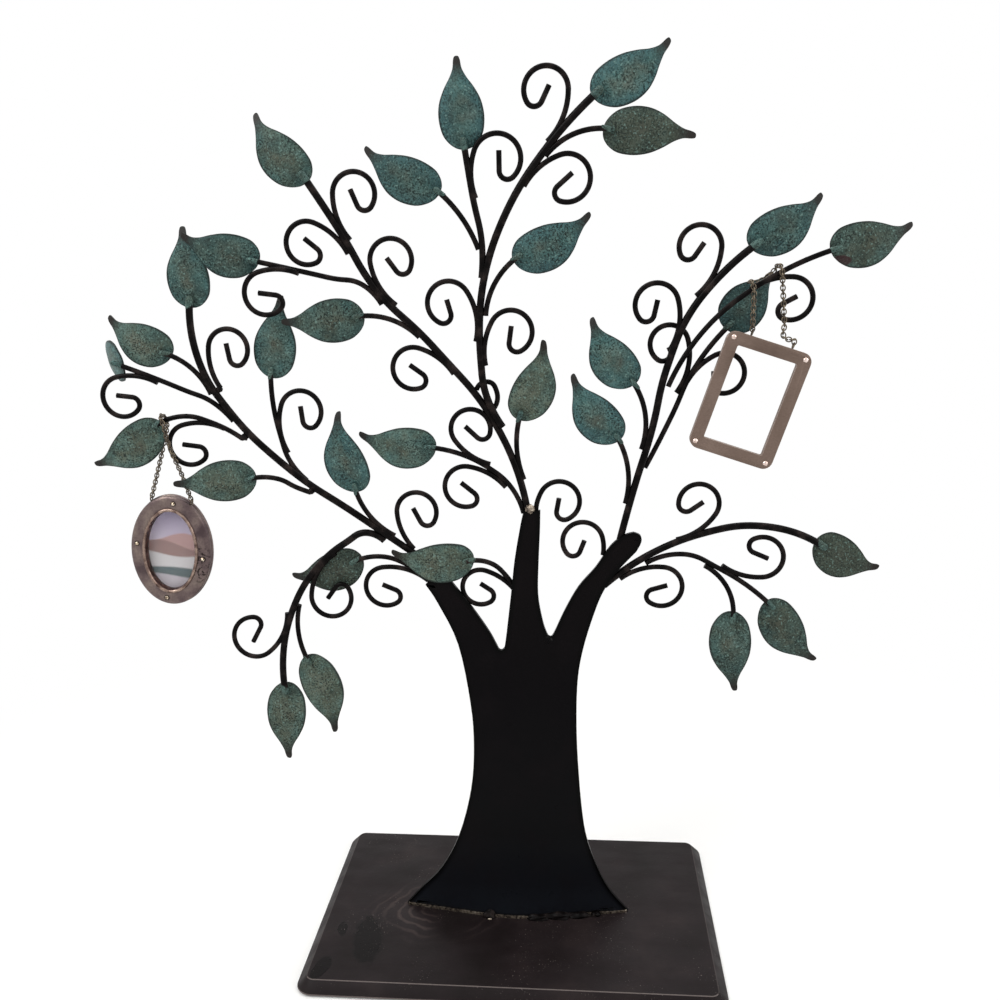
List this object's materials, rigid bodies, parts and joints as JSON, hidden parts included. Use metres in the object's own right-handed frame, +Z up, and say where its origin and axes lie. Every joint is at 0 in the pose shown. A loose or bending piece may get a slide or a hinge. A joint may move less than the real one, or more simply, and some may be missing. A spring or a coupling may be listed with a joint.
{
  "type": "photo tree stand",
  "caption": "Tabletop wire tree with curled twigs and metal leaves on a bevelled plate, carrying small picture frames that hang on chain.",
  "frame": {"origin": "middle of the felt underside of the base, on the surface it stands on", "axes": "+Z up, +X to the viewer's right along the base's long side, -Y towards the viewer"},
  "size_m": [0.3981, 0.14, 0.448],
  "materials": {
    "base_steel": "satin charcoal",
    "felt": "matte",
    "black_steel": "satin black",
    "solder": "dull",
    "leaf_patina": "matte verdigris",
    "chain_metal": "antiqued",
    "rect_metal": "brushed warm bronze colour",
    "spacer": "dark",
    "pin_metal": "bright",
    "oval_metal": "antiqued pewter colour",
    "clear_sheet": "clear",
    "photo_card": "printed card",
    "stud_metal": "bright"
  },
  "bodies": {
    "stand": {"base_board": "base_steel", "base_felt": "felt", "trunk": "black_steel", "foot_seam": "solder", "weld_beads": "solder", "bough_left": "black_steel", "bough_droop": "black_steel", "bough_centre": "black_steel", "bough_top": "black_steel", "bough_right": "black_steel", "bough_low": "black_steel", "twigs_left": "black_steel", "twigs_droop": "black_steel", "twigs_centre": "black_steel", "twigs_top": "black_steel", "twigs_right": "black_steel", "twigs_low": "black_steel", "twig_limb": "black_steel", "scrolls_left": "black_steel", "scrolls_droop": "black_steel", "scrolls_centre": "black_steel", "scrolls_top": "black_steel", "scrolls_right": "black_steel", "scrolls_low": "black_steel", "scrolls_limb": "black_steel", "leaves_left": "leaf_patina", "leaves_droop": "leaf_patina", "leaves_centre": "leaf_patina", "leaves_top": "leaf_patina", "leaves_right": "leaf_patina", "leaves_low": "leaf_patina", "leaf_limb": "leaf_patina", "rect_wrap": "chain_metal"},
    "rect_chain": {"rect_chain": "chain_metal"},
    "rect_frame": {"rect_front": "rect_metal", "rect_back": "rect_metal", "rect_spacer": "spacer", "rect_pins": "pin_metal", "rect_eyelets": "chain_metal"},
    "oval_chain": {"oval_chain": "chain_metal"},
    "oval_frame": {"oval_front": "oval_metal", "oval_back": "oval_metal", "oval_window": "clear_sheet", "oval_card": "photo_card", "oval_studs": "stud_metal", "oval_eyelets": "chain_metal"}
  },
  "joints": [
    {"name": "rect_chain_swing", "type": "hinge", "parent": "stand", "child": "rect_chain", "pos_m": [0.1133, -0.0069, 0.3369], "axis": [-0.893, 0, -0.4501], "range_deg": [-1.2, 35]},
    {"name": "rect_frame_nod", "type": "hinge", "parent": "rect_chain", "child": "rect_frame", "pos_m": [0.1133, -0.0069, 0.3187], "axis": [-0.9493, 0, 0.3143], "range_deg": [-2, 35]},
    {"name": "oval_chain_swing", "type": "hinge", "parent": "stand", "child": "oval_chain", "pos_m": [-0.1734, -0.0035, 0.2776], "axis": [-0.9135, 0, -0.4067], "range_deg": [-3, 4]},
    {"name": "oval_frame_nod", "type": "hinge", "parent": "oval_chain", "child": "oval_frame", "pos_m": [-0.17368, -0.0035, 0.2369], "axis": [-0.9962, 0, 0.0872], "range_deg": [-25, 25]}
  ]
}
